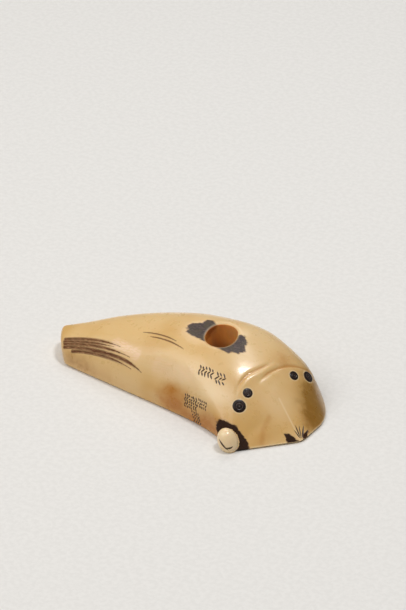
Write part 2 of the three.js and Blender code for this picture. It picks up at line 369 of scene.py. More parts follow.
def body_skin():
    """The body, skinned by rays out of a spine: half circles along it and a fan round each end."""
    share = np.linspace(0, 1, RINGS + 1)
    along = (share - TAIL_SHARE) / (1 - TAIL_SHARE - HEAD_SHARE)
    swing = np.where(along < 0, -(1 - share / TAIL_SHARE), 0) * math.pi / 2
    swing = np.where(along > 1, (1 - (1 - share) / HEAD_SHARE) * math.pi / 2, swing)
    t = np.clip(along, 0, 1)[:, None]
    start, middle, end = SPINE
    origin = start * (1 - t) ** 2 + 2 * middle * t * (1 - t) + end * t**2
    ahead = unit((middle - start) * (1 - t) + (end - middle) * t)
    side = np.stack([ahead[:, 1], -ahead[:, 0], np.zeros(len(ahead))], -1)
    roll = np.linspace(0, math.pi, COLUMNS + 1)[None, :, None]
    turn = swing[:, None, None]
    up = np.array([0.0, 0.0, 1.0])
    around = np.cos(roll) * side[:, None] + np.sin(roll) * up
    rays = around * np.cos(turn) + ahead[:, None] * np.sin(turn)
    origins = np.broadcast_to(origin[:, None], rays.shape)
    skin = along_rays(origins, rays, carved_form)

    feet = []
    for column in (0, COLUMNS):
        edge = skin[:, column]
        inward = (origin - edge) * (1, 1, 0)
        length = np.linalg.norm(inward, axis=1, keepdims=True)
        foot = edge + inward / np.maximum(length, 1e-9) * np.minimum(BASE_INSET, length)
        feet.append(foot * (1, 1, 0))
    rings = np.concatenate([feet[0][:, None], skin, feet[1][:, None]], axis=1)

    piece = mesh_object("carving", rings.reshape(-1, 3), tube_faces(RINGS + 1, rings.shape[1]))
    with mesh_editing(piece) as made:
        bmesh.ops.remove_doubles(made, verts=made.verts, dist=SAME_PLACE)
        bmesh.ops.triangulate(made, faces=made.faces)
    return piece


def aimed(point, direction):
    """The matrix that sets +Z along a direction, at a point."""
    turn = Vector(direction).to_track_quat("Z", "Y").to_matrix().to_4x4()
    return Matrix.Translation(Vector(point)) @ turn


def cylinder(name, radius, low, high, sides, place):
    piece = mesh_object(name, [], [])
    with mesh_editing(piece) as made:
        bmesh.ops.create_cone(
            made, cap_ends=True, segments=sides, radius1=radius, radius2=radius, depth=high - low)
        bmesh.ops.translate(made, verts=made.verts, vec=(0, 0, (high + low) / 2))
        bmesh.ops.transform(made, matrix=place, verts=made.verts)
    return piece


def paw_egg():
    """The forepaw: a leaning egg, cut flat where it meets the ground."""
    piece = mesh_object("paw", [], [])
    with mesh_editing(piece) as made:
        bmesh.ops.create_uvsphere(made, u_segments=72, v_segments=44, radius=0.5)
        size = Matrix.Diagonal((PAW.width, PAW.width, PAW.length, 1))
        bmesh.ops.transform(made, matrix=aimed(PAW.centre, PAW.lean) @ size, verts=made.verts)
        whole = made.verts[:] + made.edges[:] + made.faces[:]
        cut = bmesh.ops.bisect_plane(
            made, geom=whole, plane_co=(0, 0, 0), plane_no=(0, 0, 1), clear_inner=True)
        rim = [e for e in cut["geom_cut"] if isinstance(e, bmesh.types.BMEdge)]
        bmesh.ops.contextual_create(made, geom=rim)
    return piece


# ---------- cut strokes

STROKE_STATIONS, SHORT_STROKE_STATIONS = 14, 6
PROUD = 0.05  # how far the cutters stand out of the surface
POINTED = Values(power=0.6, least=0.15)
TRAILING = Values(start=0.6, full=0.08, narrows=0.62, least=0.12)


def pointed(s):
    """A stroke's share of its full width along it: running out to a point at both ends."""
    return np.maximum(np.sin(math.pi * s) ** POINTED.power, POINTED.least)


def trailing(s):
    """Full width soon after the start, and running out to a point at the end only."""
    opening = TRAILING.start + (1 - TRAILING.start) * smooth_step(0, TRAILING.full, s)
    return np.maximum(1 - smooth_step(TRAILING.narrows, 1.0, s), TRAILING.least) * opening


def stroke_solid(points, normals, half_width, depth, swell):
    """A graver's cut along a path on the surface, V-shaped."""
    n = len(points)
    side = unit(np.cross(normals, unit(np.gradient(points, axis=0))))
    share = swell(np.linspace(0, 1, n))[:, None]
    reach = half_width * share * (1 + PROUD / depth)
    left = points + side * reach + normals * PROUD
    right = points - side * reach + normals * PROUD
    bottom = points - normals * depth * share
    vertices = np.stack([left, right, bottom], axis=1).reshape(-1, 3)
    last = (n - 1) * 3
    return vertices, [(0, 1, 2), (last, last + 2, last + 1)] + tube_faces(n, 3)


def cut_strokes(piece, name, strokes, swell=pointed):
    """Cuts a set of strokes that don't cross each other: (points, half width, depth, normals) each."""
    vertices, faces = [], []
    for points, half_width, depth, normals in strokes:
        v, f = stroke_solid(points, normals, half_width, depth, swell)
        start = sum(len(part) for part in vertices)
        vertices.append(v)
        faces += [tuple(i + start for i in face) for face in f]
    tool = mesh_object(name, np.concatenate(vertices), faces)
    with mesh_editing(tool) as made:
        bmesh.ops.recalc_face_normals(made, faces=made.faces)
        bmesh.ops.triangulate(made, faces=made.faces)
    combine(piece, tool, "DIFFERENCE")


def curve_through(start, middle, end, count=STROKE_STATIONS):
    """A path from start to end that passes its middle point halfway."""
    t = np.linspace(0, 1, count)[:, None]
    start, middle, end = (np.array(p, float) for p in (start, middle, end))
    handle = 2 * middle - (start + end) / 2
    return start * (1 - t) ** 2 + 2 * handle * t * (1 - t) + end * t**2


def back_stroke(start, middle, end, half_width, depth):
    path = curve_through(start, middle, end)
    points = on_back(path[:, 0], path[:, 1])
    return points, half_width, depth, normal_at(points)


def back_mark(start, end, half_width, depth):
    return back_stroke(start, (np.array(start) + end) / 2, end, half_width, depth)


def flank_mark(start, end, half_width, depth):
    path = curve_through(start, (np.array(start) + end) / 2, end, SHORT_STROKE_STATIONS)
    points = on_flank(path[:, 0], path[:, 1])
    return points, half_width, depth, normal_at(points)


# The tail's strands, each by its start at the cut end, its middle and its tip in plan, and half width.
TAIL_STRANDS = [
    ((-61.0, 4.78), (-53.8, 4.70), (-46.3, 3.50), 0.23),
    ((-61.0, 4.38), (-54.8, 4.20), (-48.0, 3.45), 0.20),
    ((-60.8, 3.95), (-52.2, 3.50), (-43.2, 1.90), 0.24),
    ((-60.6, 3.52), (-50.2, 2.60), (-40.2, 0.45), 0.24),
    ((-53.0, 2.84), (-45.9, 1.82), (-39.3, 0.12), 0.38),
    ((-58.2, 2.90), (-50.3, 2.12), (-42.0, 0.42), 0.20),
]
STRAND_DEPTH = 0.08
# The paler brown between the strands: how far out it reaches, and where along them it thins out.
STRAND_WASH = Values(strength=0.80, edge=(0.36, 0.50), fade=(0.42, 0.95))
# The ink's edge across a strand or line: shares of its half width, and a blur in millimetres.
INK_EDGE = Values(full=0.75, gone=1.25, blur=0.06)
# Every strand and line lies under this x and y and over this z.
INK_REGION = Values(x=-30, y=8, z=2)
LINE_DEPTH = 0.10
LINE_INK = 0.8
BODY_LINES = [
    ((-42.3, 7.00), (-38.0, 6.74), (-33.5, 5.58), 0.15),
    ((-40.1, 6.03), (-35.8, 5.50), (-30.9, 4.02), 0.16),
]
# The fan of lines behind the nose, from their foot to their tips with half widths.
NOSE_FAN_FOOT = (-0.05, -0.02)
NOSE_FAN_START = 0.13
NOSE_FAN_DEPTH = 0.10
NOSE_FAN_TIPS = [
    ((-2.50, 0.86), 0.15),
    ((-2.75, 1.92), 0.19),
    ((-2.10, 2.55), 0.16),
    ((-1.30, 3.40), 0.25),
    ((-0.20, 3.60), 0.36),
]


def back_strokes(lines, depth):
    return [back_stroke(*line, depth) for line in lines]


def nose_cuts():
    foot = np.array(NOSE_FAN_FOOT)
    cuts = []
    for tip, half_width in NOSE_FAN_TIPS:
        start = foot + (np.array(tip) - foot) * NOSE_FAN_START
        cuts.append(back_mark(start, tip, half_width, NOSE_FAN_DEPTH))
    return cuts


# Blocks of short strokes in the place of writing: corner, way across, way down, strokes in a row, rows,
# lean, length and half width. On the back they are laid out in plan, and on the flank by x and height.
BACK_WRITING = [
    ((-25.6, 1.35), (3.8, -0.1), (0.2, -1.7), 5, 3, 0.95, 1.15, 0.23),
    ((-21.3, 1.05), (2.3, 0.25), (0.5, -2.2), 3, 3, 0.75, 1.30, 0.23),
]
FLANK_WRITING = [
    ((-27.4, 5.9), (3.6, 0.2), (0.4, -2.9), 6, 5, 0.9, 1.00, 0.22),
    ((-23.5, 6.3), (2.7, 0.2), (-0.2, -2.0), 5, 3, 0.9, 0.90, 0.20),
    ((-25.2, 3.1), (2.4, 0.0), (1.1, -2.5), 4, 4, 1.2, 1.00, 0.21),
]
MARK_DEPTH = 0.09
MARK_WANDER = Values(place=0.07, lean=0.22, shortest=0.65, longest=1.15)


def mark_rows(rng, make, corner, across, down, columns, rows, lean, length, half_width):
    """One block of short leaning strokes, which aren't letters, as a list for each row."""
    corner, across, down = (np.array(v, float) for v in (corner, across, down))
    cuts = []
    for row in range(rows):
        cuts.append([])
        for column in range(columns):
            centre = corner + across * (column + 0.5) / columns + down * (row + 0.5) / rows
            centre = centre + rng.uniform(-MARK_WANDER.place, MARK_WANDER.place, 2)
            angle = lean * (1 if row % 2 else -1) + rng.uniform(-MARK_WANDER.lean, MARK_WANDER.lean)
            half = length / 2 * rng.uniform(MARK_WANDER.shortest, MARK_WANDER.longest)
            half = half * np.array([math.cos(angle), math.sin(angle)])
            cuts[-1].append(make(centre - half, centre + half, half_width, MARK_DEPTH))
    return cuts


def writing_cuts():
    """Rows of strokes: neighbouring rows lean opposite ways and may cross, so each is a list of its own."""
    rng = np.random.default_rng(5)
    rows = []
    for blocks, make in ((BACK_WRITING, back_mark), (FLANK_WRITING, flank_mark)):
        for block in blocks:
            rows += mark_rows(rng, make, *block)
    return rows


# The two toe lines, as directions out of the paw's middle.
TOE_LINES = [
    ((-0.56, -0.66, 0.52), (-0.08, -0.98, 0.14), (0.52, -0.76, -0.42)),
    ((0.24, -0.96, -0.10), (0.60, -0.79, -0.14), (0.84, -0.56, 0.02)),
]
TOE_LINE = Values(half_width=0.27, depth=0.16)


def paw_frame():
    """The paw's middle, the turn from its own axes and its half sizes."""
    turn = np.array(Vector(PAW.lean).to_track_quat("Z", "Y").to_matrix())
    return np.array(PAW.centre), turn, np.array([PAW.width, PAW.width, PAW.length]) / 2


def paw_cuts():
    centre, turn, size = paw_frame()
    cuts = []
    for line in TOE_LINES:
        local = unit(curve_through(*line) @ turn / size)
        points = centre + (local * size) @ turn.T
        cuts.append((points, TOE_LINE.half_width, TOE_LINE.depth, unit((local / size) @ turn.T)))
    return cuts


# ---------- where the stains and the painted light are

# The dark patches at the cord hole's mouth, outlined in plan.
HOLE_PATCHES = [
    [(-33.4, 9.9), (-32.0, 9.5), (-32.5, 8.6), (-31.0, 8.0), (-27.3, 7.3), (-26.6, 10.0), (-27.0, 12.7),
     (-28.5, 13.5), (-29.8, 13.4), (-30.5, 12.2), (-32.5, 11.3)],
    [(-23.8, 6.2), (-20.8, 5.8), (-20.1, 6.7), (-19.1, 6.8), (-17.7, 8.2), (-18.5, 9.2), (-18.4, 10.2),
     (-19.5, 11.4), (-20.6, 11.5), (-22.6, 9.0)],
]
# The dark crescent over the paw: the middle of the egg that bounds it, its long axis and half sizes.
CRESCENT = Values(
    centre=(-13.7, -8.9, 2.0), axis=(0.9, -0.1, -0.63), half_length=5.9, half_width=3.35,
)
# The dark leaf beside the nose and the dark wash in the fan's foot, outlined in plan.
NOSE_STAINS = [
    [(-3.7, -1.3), (-2.9, -0.75), (-1.5, -0.5), (-0.4, -0.7), (-1.2, -1.4), (-2.4, -2.1), (-2.9, -2.0),
     (-3.0, -1.6)],
    [(0.1, 0.0), (-0.35, 0.7), (-0.5, 1.5), (-0.25, 2.8), (0.0, 3.2), (0.2, 2.1), (0.3, 0.5)],
]
# The heights over which the stains at the hole's upper mouth and beside the nose lie.
MOUTH_LOW = 8
NOSE_LOW = 0.2
# The face's ridge from the nose, in plan, is rubbed pale, and a painted highlight lies along the foot of
# the front edge.
RIDGE_LINE = ((-0.6, 0.05), (-7.6, 4.1))
RIDGE_WEAR = Values(edge=(0.30, 0.08), low=0.3, strength=0.6)
FRONT_HIGHLIGHT = Values(along=(-11, -8), heights=(0.75, 0.45))
# The cheek's groove in plan, with painted shade along its floor.
CHEEK_LINE = ((-7.7, -0.6), (-7.9, -3.2), (-7.0, -5.6))
CHEEK_PAINTED_SHADE = Values(edge=(0.9, 0.1), heights=(0.2, 1.0))
# A vertex this near the hole's wall, an eye's socket or the underside isn't counted as lying in a cut.
UNCUT = Values(hole=0.05, socket=0.08, socket_reach=1.6, underside=0.05)
# How far out the colours of the paw, with its painted highlight, the bore's wall, and the hole's worn rim
# with its painted highlight reach.
PAW_EDGE = 0.12
WALL_EDGE = (0.15, -0.1)
RIM_WEAR_AND_HIGHLIGHT = Values(out=0.2, width=0.16)

# Broad stains, pale places and painted light by kind: middle, reach each way, strength. Some clouds are
# painted: shade low on the near flank and on the far side of the head, and a highlight along the near
# shoulder.
CLOUDS = {
    "amber": [
        ((-30.2, -2.0, 3.6), (4.4, 2.8, 2.9), 1.2),
        ((-19.0, -5.8, 2.2), (3.4, 3.0, 2.6), 1.2),
        # Painted shade low on the near flank, by the base.
        ((-25.0, -4.0, 1.2), (6.0, 2.5, 2.0), 0.9),
        ((-57.0, 2.0, 2.6), (6.0, 3.0, 2.4), 0.45),
        ((-48.0, 0.8, 1.4), (7.0, 3.0, 1.6), 0.30),
        # Amber stain on the far side by the nose, deepened as painted shade.
        ((-0.3, 6.2, 1.6), (2.0, 2.6, 2.2), 0.8),
        ((-1.8, 8.0, 4.0), (2.4, 3.0, 3.6), 0.55),
        ((-11.0, 12.2, 10.4), (4.5, 3.6, 2.0), 0.5),
        ((-6.8, -4.8, 1.8), (2.2, 2.4, 2.0), 0.4),
    ],
    "olive": [
        ((-57.0, 2.0, 2.6), (6.0, 3.0, 2.4), 0.45),
        # Olive stain on the far side of the head, deepened as painted shade.
        ((0.2, 6.9, 1.2), (2.4, 3.4, 2.4), 1.0),
        ((-0.8, 9.6, 2.6), (3.4, 4.6, 3.6), 1.1),
        ((-3.6, 10.8, 5.2), (3.2, 3.8, 4.8), 0.8),
        ((-6.0, 18.5, 4.5), (7.0, 5.0, 6.0), 0.9),
    ],
    "pale": [
        # These two are a painted highlight along the near shoulder.
        ((-30.0, -0.2, 8.8), (9.0, 2.4, 2.6), 0.9),
        ((-20.0, -2.6, 7.8), (6.5, 2.8, 2.6), 0.9),
        ((-18.5, 7.0, 13.2), (5.0, 5.0, 2.5), 0.6),
        ((-24.0, 15.0, 14.0), (16.0, 4.0, 4.0), 0.5),
        ((-7.0, 3.5, 6.4), (4.5, 5.0, 5.0), 0.5),
    ],
}
CLOUD_LIMIT = 1.4
# Pale scratched hatching, along the tail beyond the strands and along the shoulder: start, end, half
# width and strength.
HATCHED = [((-48.0, 4.30), (-41.6, 2.35), 1.0, 1.0), ((-36.0, 1.2), (-27.0, -0.4), 1.1, 0.45)]
HATCH_EDGE = Values(none=1.35, full=0.4, low=4)


def segment_distance(points, a, b):
    a, b = np.array(a, float), np.array(b, float)
    t = np.clip((points - a) @ (b - a) / ((b - a) @ (b - a)), 0, 1)
    return np.linalg.norm(points - a - t[:, None] * (b - a), axis=1)


def line_distance(places, line):
    """The distance in plan to a line through places."""
    return np.min([segment_distance(places, a, b) for a, b in zip(line[:-1], line[1:])], axis=0)


def outline_distance(places, corners):
    """The distance in plan to a closed outline, under 0 inside it."""
    x, y = places.T
    away, inside = np.full(len(places), FAR), np.zeros(len(places), bool)
    for a, b in zip(corners, corners[1:] + corners[:1]):
        away = np.minimum(away, segment_distance(places, a, b))
        crossing = a[0] + (b[0] - a[0]) * (y - a[1]) / (b[1] - a[1])
        inside ^= ((a[1] > y) != (b[1] > y)) & (x < crossing)
    return np.where(inside, -away, away)


def nearest_outline(places, outlines):
    return np.min([outline_distance(places, corners) for corners in outlines], axis=0)


def paw_depth(points):
    centre, turn, size = paw_frame()
    return (np.linalg.norm((points - centre) @ turn / size, axis=1) - 1) * size.min()


def crescent_distance(points):
    axis = unit(np.array(CRESCENT.axis))
    off = points - CRESCENT.centre
    along = off @ axis
    across = np.linalg.norm(off - along[:, None] * axis, axis=1)
    reach = np.hypot(along / CRESCENT.half_length, across / CRESCENT.half_width)
    return (reach - 1) * CRESCENT.half_width


def ink_along(points, cuts, swell, wash_strength=0.0):
    """How fully each point is covered by brown strands or lines, and by a wash round them."""
    x, y, z = points.T
    ink = np.zeros(len(points))
    near = np.nonzero((x < INK_REGION.x) & (y < INK_REGION.y) & (z > INK_REGION.z))[0]
    for path, half_width, _, _ in cuts:
        s = np.linspace(0, 1, len(path))
        share, thin = swell(s), 1 - smooth_step(*STRAND_WASH.fade, s)
        for i, (a, b) in enumerate(zip(path[:-1], path[1:])):
            off = segment_distance(points[near], a, b)
            wide = (share[i] + share[i + 1]) / 2 * half_width
            core = 1 - smooth_step(INK_EDGE.full * wide, INK_EDGE.gone * wide + INK_EDGE.blur, off)
            wash = 1 - smooth_step(*STRAND_WASH.edge, off)
            ink[near] = np.maximum(ink[near], np.maximum(core, wash_strength * thin[i] * wash))
    return ink


def cut_depth(points, on_paw, eyes):
    """How deep each point lies in a cut, and how far it is outside the nearest eye."""
    x, y, z = points.T
    depth = -np.minimum(carved_form(x, y, z), on_paw)
    depth[from_hole(x, y) < UNCUT.hole] = 0
    halo = np.full(len(points), FAR)
    for centre, normal, radius in eyes:
        off = points - centre
        out = np.linalg.norm(off - np.outer(off @ normal, normal), axis=1) - radius
        near = np.abs(off @ normal) < UNCUT.socket_reach
        depth[near & (out < UNCUT.socket)] = 0
        halo = np.where(near, np.minimum(halo, out), halo)
    depth[z < UNCUT.underside] = 0
    return np.clip(depth, 0, 1), halo


def cloud_cover(points, clouds):
    """The strength of broad stains, pale places and painted light at each point."""
    total = np.zeros(len(points))
    for middle, reach, strength in clouds:
        total += strength * np.exp(-(((points - middle) / reach) ** 2).sum(1))
    return np.clip(total, 0, CLOUD_LIMIT)


# The ridge rubbed pale, and the painted highlight along the foot of the front edge.
def wear_and_highlight_places(x, y, z):
    forward, _ = to_head(x, y)
    front = smooth_step(*FRONT_HIGHLIGHT.along, forward)
    front = front * smooth_step(*FRONT_HIGHLIGHT.heights, z)
    off_ridge = line_distance(np.stack([x, y], -1), RIDGE_LINE)
    ridge = smooth_step(*RIDGE_WEAR.edge, off_ridge) * (z > RIDGE_WEAR.low)
    return np.maximum(front, RIDGE_WEAR.strength * ridge)


def hatched_places(places, z):
    hatched = np.zeros(len(places))
    for start, end, half_width, strength in HATCHED:
        off = segment_distance(places, start, end)
        there = smooth_step(half_width * HATCH_EDGE.none, half_width * HATCH_EDGE.full, off)
        hatched = np.maximum(hatched, strength * there * (z > HATCH_EDGE.low))
    return hatched


def surface_maps(points, eyes, strands, lines):
    """For each vertex: how deep it lies in a cut, and how near each stain, mark and patch of painted light
    it is.
    """
    x, y, z = points.T
    places = points[:, :2]
    on_paw = paw_depth(points)
    paw = smooth_step(PAW_EDGE, 0.0, on_paw)
    depth, halo = cut_depth(points, on_paw, eyes)
    nose = np.where(z > NOSE_LOW, nearest_outline(places, NOSE_STAINS), FAR)
    tail_ink = ink_along(points, strands, trailing, STRAND_WASH.strength)
    in_groove = smooth_step(*CHEEK_PAINTED_SHADE.edge, line_distance(places, CHEEK_LINE))
    out = from_hole(x, y)
    maps = {
        "cut": depth,
        "patch": np.where(z > MOUTH_LOW, nearest_outline(places, HOLE_PATCHES), FAR),
        "dark": np.minimum(crescent_distance(points) + FAR * paw, nose),
        "halo": halo,
        "ink": np.maximum(tail_ink, LINE_INK * ink_along(points, lines, pointed)),
        "paw": paw,
        "crease": crease_profile(x, y, z)[0],
        # ridge rubbed pale, and the painted highlight along the front edge's foot
        "worn": wear_and_highlight_places(x, y, z),
        # painted shade along the cheek's groove
        "groove": in_groove * smooth_step(*CHEEK_PAINTED_SHADE.heights, z),
        "hatch": hatched_places(places, z),
        "wall": smooth_step(*WALL_EDGE, out),
        # the hole's rim: worn pale, with a painted highlight along it
        "rim": bell(out - RIM_WEAR_AND_HIGHLIGHT.out, RIM_WEAR_AND_HIGHLIGHT.width) * (z > MOUTH_LOW),
    }
    maps.update({kind: cloud_cover(points, clouds) for kind, clouds in CLOUDS.items()})
    return maps


def add_maps(piece, maps):
    for name, values in maps.items():
        attribute = piece.data.attributes.new(name, "FLOAT", "POINT")
        attribute.data.foreach_set("value", np.ascontiguousarray(values, np.float32))


# ---------- materials

class Shader:
    """A material's node tree, with a short call for each kind of node that is used here."""

    def __init__(self, name):
        self.material = bpy.data.materials.new(name)
        self.material.use_nodes = True
        self.tree = self.material.node_tree
        self.surface = next(n for n in self.tree.nodes if n.type == "BSDF_PRINCIPLED")
        self.mm = self.vector("SCALE", self.node("TexCoord").outputs["Object"], Scale=1 / MM)

    def link(self, value, socket):
        if isinstance(value, bpy.types.NodeSocket):
            self.tree.links.new(value, socket)
        else:
            socket.default_value = value

    def feed(self, node, **values):
        """Links or sets a node's inputs, named with _ for a space."""
        for name, value in values.items():
            self.link(value, node.inputs[name.replace("_", " ")])
        return node

    def node(self, kind, **values):
        return self.feed(self.tree.nodes.new("ShaderNode" + kind), **values)

    def vector(self, operation, a, b=None, **values):
        node = self.node("VectorMath")
        node.operation = operation
        self.link(a, node.inputs[0])
        if b is not None:
            self.link(b, node.inputs[1])
        self.feed(node, **values)
        return node.outputs["Value" if operation in ("LENGTH", "DOT_PRODUCT") else "Vector"]

    def math(self, operation, a, b, clamp=False):
        node = self.node("Math")
        node.operation = operation
        node.use_clamp = clamp
        self.link(a, node.inputs[0])
        self.link(b, node.inputs[1])
        return node.outputs[0]

    def times(self, a, b):
        return self.math("MULTIPLY", a, b)

    def plus(self, a, b):
        return self.math("ADD", a, b)

    def highest(self, a, b):
        return self.math("MAXIMUM", a, b)

    def noise(self, scale, detail=2.0, roughness=0.5, stretch=(1, 1, 1), shift=(0, 0, 0), distortion=0.0):
        """Noise between about 0.3 and 0.7, with its scale in features per millimetre."""
        place = self.vector("ADD", self.vector("MULTIPLY", self.mm, stretch), shift)
        node = self.node("TexNoise", Vector=place, Scale=scale, Detail=detail, Roughness=roughness)
        return self.feed(node, Distortion=distortion).outputs["Fac"]

    def map(self, name):
        node = self.node("Attribute")
        node.attribute_name = name
        return node.outputs["Fac"]

    def ease(self, value, low, high, start=0.0, end=1.0):
        """start at low, end at high, and a smooth change between."""
        node = self.node("MapRange")
        node.interpolation_type = "SMOOTHSTEP"
        for socket, number in zip(node.inputs, (value, low, high, start, end)):
            self.link(number, socket)
        return node.outputs[0]

    def mix(self, share, a, b):
        node = self.node("Mix")
        node.data_type = "RGBA"
        self.link(share, node.inputs[0])
        for colour, socket in ((a, node.inputs[6]), (b, node.inputs[7])):
            self.link(colour if isinstance(colour, bpy.types.NodeSocket) else (*colour, 1.0), socket)
        return node.outputs[2]

    def bump(self, height, distance, strength):
        return self.node("Bump", Height=height, Distance=distance, Strength=strength).outputs["Normal"]


CREAM = (0.74, 0.50, 0.22)
HONEY = (0.64, 0.385, 0.125)
PALE = (0.84, 0.64, 0.38)
PINK = (0.84, 0.58, 0.36)
AMBER = (0.45, 0.165, 0.009)
OLIVE = (0.25, 0.115, 0.006)
STAIN = (0.024, 0.013, 0.014)
STAIN_WARM = (0.085, 0.050, 0.046)
STAIN_OLIVE = (0.058, 0.044, 0.018)
STAIN_EDGE = (0.24, 0.115, 0.045)
NIGHT = (0.020, 0.008, 0.005)
STRAND = (0.085, 0.026, 0.012)
STRAND_PALE = (0.22, 0.090, 0.045)
STROKE = (0.045, 0.018, 0.008)
WALL = (0.92, 0.35, 0.030)
WALL_SHADE = (0.60, 0.19, 0.014)
WALL_PAINTED_SHADE = (0.20, 0.050, 0.004)
HORN = (0.007, 0.003, 0.002)
HORN_STREAK = (0.026, 0.012, 0.008)
HORN_RING = (0.085, 0.050, 0.036)
HORN_DOT = (0.15, 0.11, 0.085)
HORN_RIM = (0.12, 0.07, 0.04)
PAPER = (0.74, 0.73, 0.71)
PAPER_FIBRE = (0.78, 0.77, 0.75)

# How strongly each layer of the ivory covers what is under it.
COVER = Values(
    pale=0.8, olive=0.9, grain=0.20, speck=0.07, crease=0.50, groove=0.30, worn=0.8,
    halo=0.55, edge=0.75, olive_stain=0.65, stain=0.96, rim=0.30, stroke=0.95,
)
# How far the stains' edges wander, in millimetres over the noise's full range.
WANDER = Values(patch=1.7, dark=1.5)
# The polish and what matt places take from it, and the light that soaks into the ivory.
POLISH = Values(coat=0.30, coat_roughness=0.12, shine=0.5, shine_lost=0.44, matt=0.22)
GLOW = Values(ivory=0.14, wall=0.7, reach=1.2, colour=(1.0, 0.55, 0.25))
IVORY_RELIEF, HORN_RELIEF = 0.03 * MM, 0.02 * MM


def ivory_ground(s, grain):
    """Mottled cream and honey ivory with its broad stains, and the painted shade and highlight among its
    clouds.
    """
    warm = s.ease(s.noise(0.06, 3, 0.55), 0.38, 0.66)
    colour = s.mix(warm, CREAM, HONEY)
    # Pale clouds; the two on the near shoulder are a painted highlight.
    colour = s.mix(s.math("MULTIPLY", s.map("pale"), COVER.pale, clamp=True), colour, PALE)
    mottle = s.ease(s.noise(0.35, 4, 0.6, shift=(9, 0, 0)), 0.35, 0.68, -0.22, 0.22)
    # Amber clouds; those low on the near flank and on the far side by the nose are painted shade.
    amber = s.math("MULTIPLY", s.map("amber"), s.plus(mottle, 0.85), clamp=True)
    colour = s.mix(s.ease(amber, -0.05, 1.05), colour, AMBER)
    # Olive clouds; on the far side of the head, olive stain deepened as painted shade.
    olive = s.math("MULTIPLY", s.map("olive"), s.plus(mottle, 0.9), clamp=True)
    colour = s.mix(s.ease(olive, -0.05, 1.05, 0.0, COVER.olive), colour, OLIVE)
    colour = s.mix(s.ease(grain, 0.52, 0.75, 0.0, COVER.grain), colour, HONEY)
    speck = s.noise(3.2, 2, 0.5, shift=(0, 31, 0))
    return s.mix(s.ease(speck, 0.66, 0.76, 0.0, COVER.speck), colour, AMBER)


def ivory_wear(s, colour):
    """Scratched hatching, stained creases, painted shade along the cheek's groove, the pale paw with a
    painted highlight, the worn ridge, a painted highlight along the front edge's foot, and pale rings round
    the eyes.
    """
    scratch = s.noise(2.0, 1, 0.4, stretch=(0.30, 1.9, 1.9), shift=(0, 0, 19), distortion=0.2)
    hatching = s.times(s.map("hatch"), s.ease(scratch, 0.38, 0.60, 0.30, 1.0))
    colour = s.mix(hatching, colour, PINK)
    colour = s.mix(s.ease(s.map("crease"), 0.25, 1.0, 0.0, COVER.crease), colour, AMBER)
    # Painted shade along the cheek's groove.
    colour = s.mix(s.times(s.map("groove"), COVER.groove), colour, AMBER)
    # The paw's paler ivory, brightened further as a painted highlight.
    colour = s.mix(s.map("paw"), colour, PALE)
    # The worn ridge, and the painted highlight along the front edge's foot.
    colour = s.mix(s.times(s.map("worn"), COVER.worn), colour, PALE)
    return s.mix(s.times(s.ease(s.map("halo"), 0.45, 0.05), COVER.halo), colour, PALE)


def ivory_stains(s, colour, hatch):
    """The dark patches at the hole and the dark stains at the paw and nose, with ragged warm edges."""
    ragged = s.noise(0.9, 4, 0.65, stretch=(0.45, 1.3, 1.3), shift=(3, 4, 5))
    wander = s.math("SUBTRACT", ragged, 0.5)
    patch_edge = s.plus(s.map("patch"), s.times(wander, WANDER.patch))
    colour = s.mix(s.ease(patch_edge, 0.34, -0.05, 0.0, COVER.edge), colour, STAIN_EDGE)
    patch = s.ease(patch_edge, 0.10, -0.16)
    stain = s.mix(s.ease(hatch, 0.42, 0.66), STAIN, STAIN_WARM)
    olive = s.ease(s.noise(0.45, 2, shift=(2, 7, 0)), 0.42, 0.62, 0.0, COVER.olive_stain)
    colour = s.mix(s.times(patch, COVER.stain), colour, s.mix(olive, stain, STAIN_OLIVE))
    dark_edge = s.plus(s.map("dark"), s.times(wander, WANDER.dark))
    colour = s.mix(s.ease(dark_edge, 0.24, -0.04, 0.0, COVER.edge), colour, STAIN_EDGE)
    dark = s.ease(dark_edge, 0.08, -0.12)
    night = s.mix(s.ease(hatch, 0.45, 0.7), NIGHT, STAIN)
    return s.mix(s.times(dark, COVER.stain), colour, night), patch, dark


def ivory_ink(s, colour):
    """The streaky brown of the strands and lines, and the dark floor of the other cuts."""
    streak = s.noise(2.6, 3, 0.6, stretch=(0.12, 1.5, 1.5), shift=(0, 5, 0))
    strand = s.mix(s.ease(streak, 0.40, 0.66), STRAND, STRAND_PALE)
    cover = s.times(s.map("ink"), s.ease(streak, 0.74, 0.60, 0.55, 0.97))
    colour = s.mix(cover, colour, strand)
    bare = s.math("SUBTRACT", 1.0, s.ease(s.map("ink"), 0.0, LINE_INK))
    deep = s.times(s.ease(s.map("cut"), 0.004, 0.030), bare)
    return s.mix(s.times(deep, COVER.stroke), colour, STROKE), cover, deep


def bore_wall(s):
    """The orange-brown wall of the cord hole, with painted shade that darkens it downwards."""
    wall = s.mix(s.ease(s.noise(0.4, 3, stretch=(1, 1, 0.5)), 0.35, 0.65), WALL, WALL_SHADE)
    height = s.node("SeparateXYZ", Vector=s.mm).outputs["Z"]
    # Painted shade, deeper down the bore.
    return s.mix(s.ease(height, 12.0, 6.0), wall, WALL_PAINTED_SHADE)


